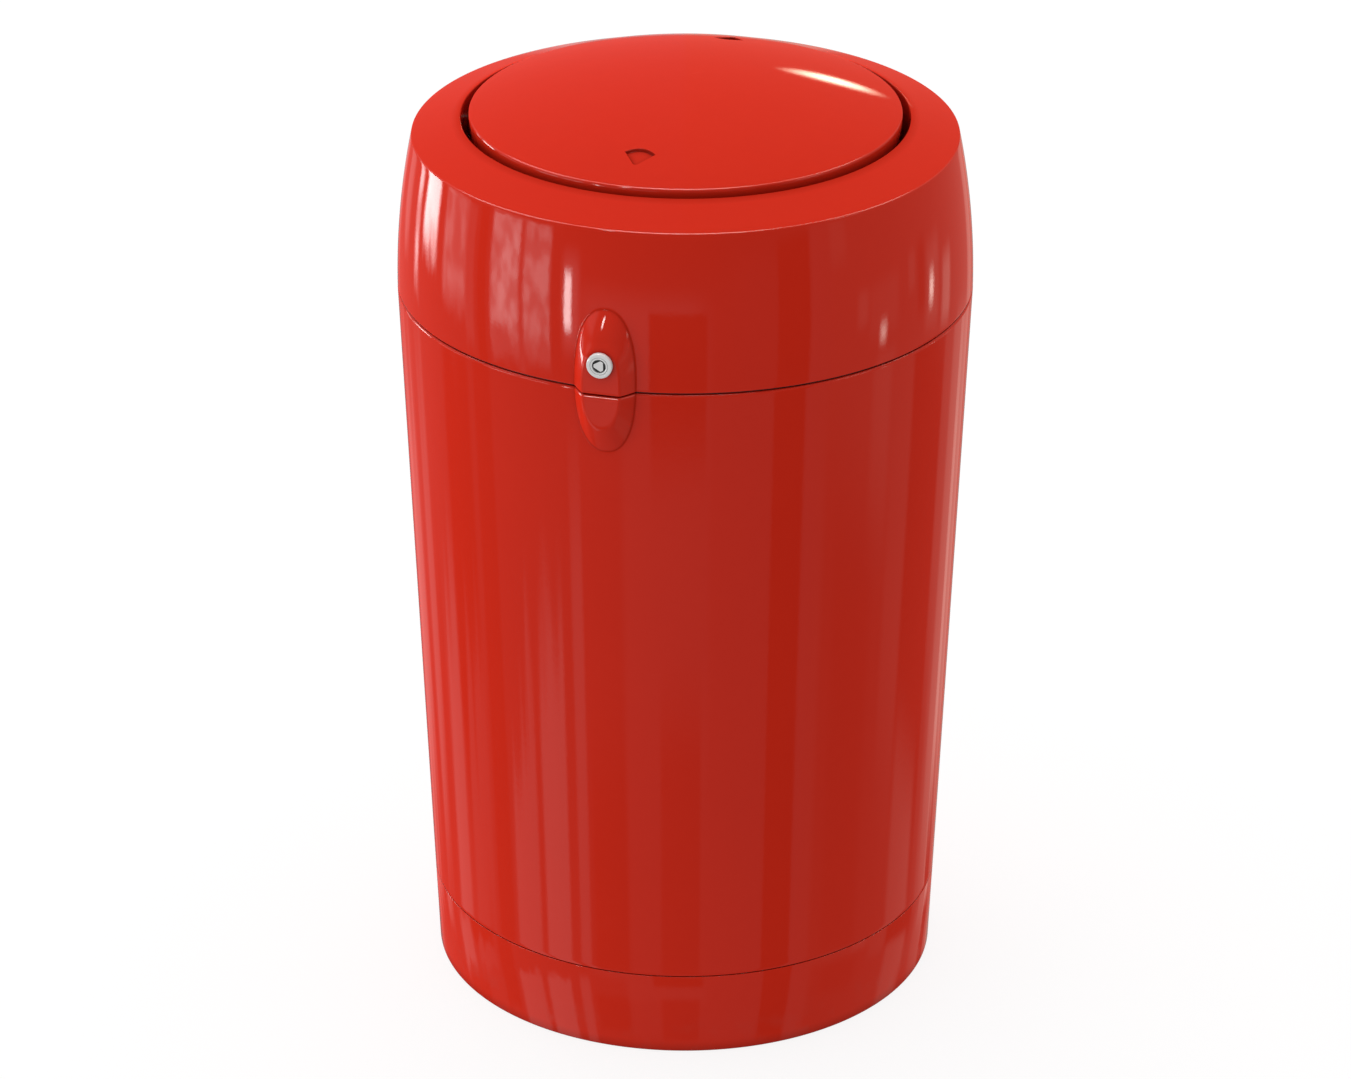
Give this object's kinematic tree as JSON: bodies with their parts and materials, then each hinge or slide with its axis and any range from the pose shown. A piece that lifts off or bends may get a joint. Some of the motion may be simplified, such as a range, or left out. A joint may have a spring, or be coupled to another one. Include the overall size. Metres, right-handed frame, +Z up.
{
  "type": "swing-lid litter bin",
  "caption": "Round free-standing litter bin with a tapered body, bolted plinth, lockable rear-hinged hood, domed swing lid and lift-out metal liner.",
  "frame": {"origin": "centre of the plinth's underside, on the ground", "axes": "+Z up; -Y to the front, where the lock is; +Y to the back, where the hood hinge is; the swing lid turns about a shaft along X"},
  "size_m": [0.4998, 0.5405, 0.835],
  "materials": {
    "red_moulding": "high-gloss pillar red moulded shell, smooth with faint long waviness",
    "concrete": "cast concrete",
    "zinc_plated": "bright zinc plate",
    "stainless": "brushed stainless steel",
    "lock_metal": "satin chrome plated die-cast metal",
    "galvanised": "hot-dip galvanised sheet with a faint spangle",
    "black_rubber": "matt",
    "white_nylon": "satin moulded nylon"
  },
  "bodies": {
    "body": {"base_plinth": "red_moulding", "ballast_slab": "concrete", "plinth_bolt_1": "zinc_plated", "plinth_bolt_2": "zinc_plated", "plinth_bolt_3": "zinc_plated", "plinth_bolt_4": "zinc_plated", "plinth_nut_1": "zinc_plated", "plinth_nut_2": "zinc_plated", "plinth_nut_3": "zinc_plated", "plinth_nut_4": "zinc_plated", "body_shell": "red_moulding", "hood_seal": "black_rubber", "lock_keeper": "zinc_plated", "keeper_rivet_left": "zinc_plated", "keeper_rivet_right": "zinc_plated", "hinge_leaf_lower": "stainless", "hinge_pin": "stainless", "hinge_screw_lower_left": "stainless", "hinge_screw_lower_right": "stainless"},
    "hood": {"hood_shell": "red_moulding", "hinge_leaf_upper": "stainless", "hinge_screw_upper_left": "stainless", "hinge_screw_upper_right": "stainless", "bearing_bracket_left": "zinc_plated", "bearing_bracket_right": "zinc_plated", "bearing_bush_left": "white_nylon", "bearing_bush_right": "white_nylon", "bracket_screw_left_front": "zinc_plated", "bracket_screw_left_rear": "zinc_plated", "bracket_screw_right_front": "zinc_plated", "bracket_screw_right_rear": "zinc_plated", "lock_housing": "lock_metal", "lock_nut": "zinc_plated"},
    "swing_lid": {"lid_dome": "red_moulding", "pivot_shaft": "stainless", "shaft_clip_left": "stainless", "shaft_clip_right": "stainless", "shaft_pin_left": "stainless", "shaft_pin_right": "stainless", "weight_arm_left": "zinc_plated", "weight_arm_right": "zinc_plated", "weight_bolt_left": "zinc_plated", "weight_bolt_right": "zinc_plated", "counterweight_bar": "zinc_plated"},
    "lock_core": {"lock_driver": "lock_metal", "cam_hook": "zinc_plated", "cam_screw": "stainless"},
    "liner": {"liner_bucket": "galvanised", "liner_handle_left": "zinc_plated", "liner_handle_right": "zinc_plated", "handle_rivet_left_front": "zinc_plated", "handle_rivet_left_rear": "zinc_plated", "handle_rivet_right_front": "zinc_plated", "handle_rivet_right_rear": "zinc_plated"}
  },
  "joints": [
    {"name": "hood_hinge", "type": "hinge", "parent": "body", "child": "hood", "pos_m": [0, 0.2683, 0.648], "axis": [-1, 0, 0], "range_deg": [0, 100]},
    {"name": "lid_swing", "type": "hinge", "parent": "hood", "child": "swing_lid", "pos_m": [0, 0, 0.774], "axis": [1, 0, 0], "range_deg": [-80, 80]},
    {"name": "lock_turn", "type": "hinge", "parent": "hood", "child": "lock_core", "pos_m": [0, -0.24, 0.676], "axis": [0, -1, 0], "range_deg": [0, 90]},
    {"name": "liner_lift", "type": "slide", "parent": "body", "child": "liner", "axis": [0, 0, 1], "range_m": [0, 0.075]}
  ]
}
